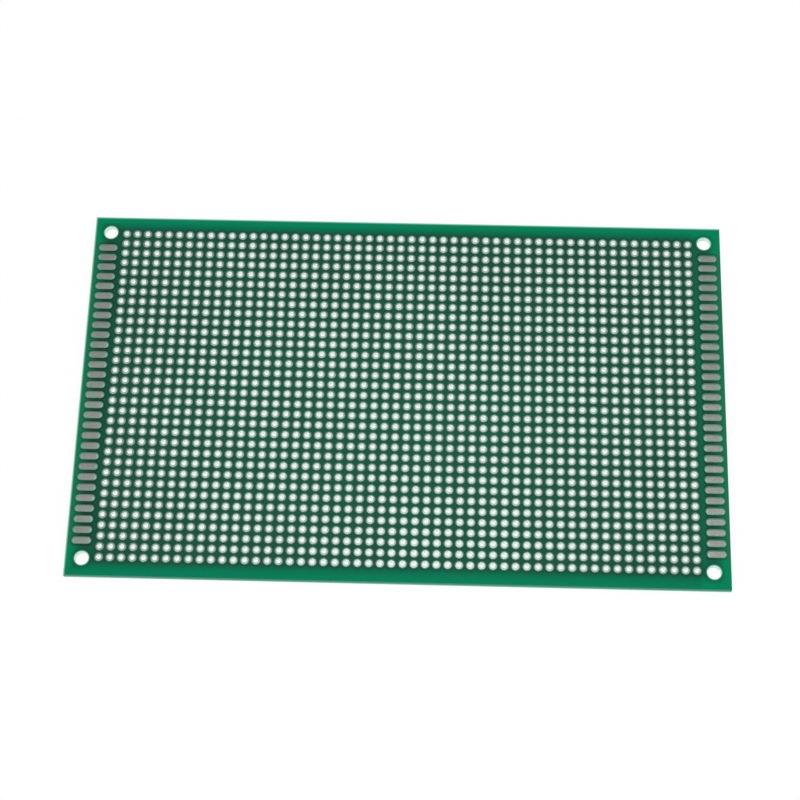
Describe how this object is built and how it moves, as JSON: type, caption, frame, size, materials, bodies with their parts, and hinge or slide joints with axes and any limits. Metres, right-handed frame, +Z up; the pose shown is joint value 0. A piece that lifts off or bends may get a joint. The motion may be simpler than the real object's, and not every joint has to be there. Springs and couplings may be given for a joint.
{
  "type": "prototype board",
  "caption": "Double-sided green prototype board with a full grid of plated lead holes, tinned fingers along both short sides and a mounting hole in each corner.",
  "frame": {"origin": "under the middle of the board, on the plane of the lower lands that it lies on", "axes": "+X along the long side, +Y along the short side, +Z up out of the upper face"},
  "size_m": [0.15, 0.09, 0.0017],
  "materials": {
    "solder_mask": "smooth glossy green solder mask over glass-epoxy laminate, pale grey-green at the cut edges",
    "land_tin": "bright tinned copper, slightly domed by the solder levelling",
    "finger_tin": "flat satin tinned copper"
  },
  "bodies": {
    "root": {"printed_board": "solder_mask", "left_fingers_top": "finger_tin", "right_fingers_top": "finger_tin", "left_fingers_bottom": "finger_tin", "right_fingers_bottom": "finger_tin", "pad_row_01": "land_tin", "pad_row_02": "land_tin", "pad_row_03": "land_tin", "pad_row_04": "land_tin", "pad_row_05": "land_tin", "pad_row_06": "land_tin", "pad_row_07": "land_tin", "pad_row_08": "land_tin", "pad_row_09": "land_tin", "pad_row_10": "land_tin", "pad_row_11": "land_tin", "pad_row_12": "land_tin", "pad_row_13": "land_tin", "pad_row_14": "land_tin", "pad_row_15": "land_tin", "pad_row_16": "land_tin", "pad_row_17": "land_tin", "pad_row_18": "land_tin", "pad_row_19": "land_tin", "pad_row_20": "land_tin", "pad_row_21": "land_tin", "pad_row_22": "land_tin", "pad_row_23": "land_tin", "pad_row_24": "land_tin", "pad_row_25": "land_tin", "pad_row_26": "land_tin", "pad_row_27": "land_tin", "pad_row_28": "land_tin", "pad_row_29": "land_tin", "pad_row_30": "land_tin", "pad_row_31": "land_tin", "pad_row_32": "land_tin", "pad_row_33": "land_tin"}
  },
  "joints": []
}
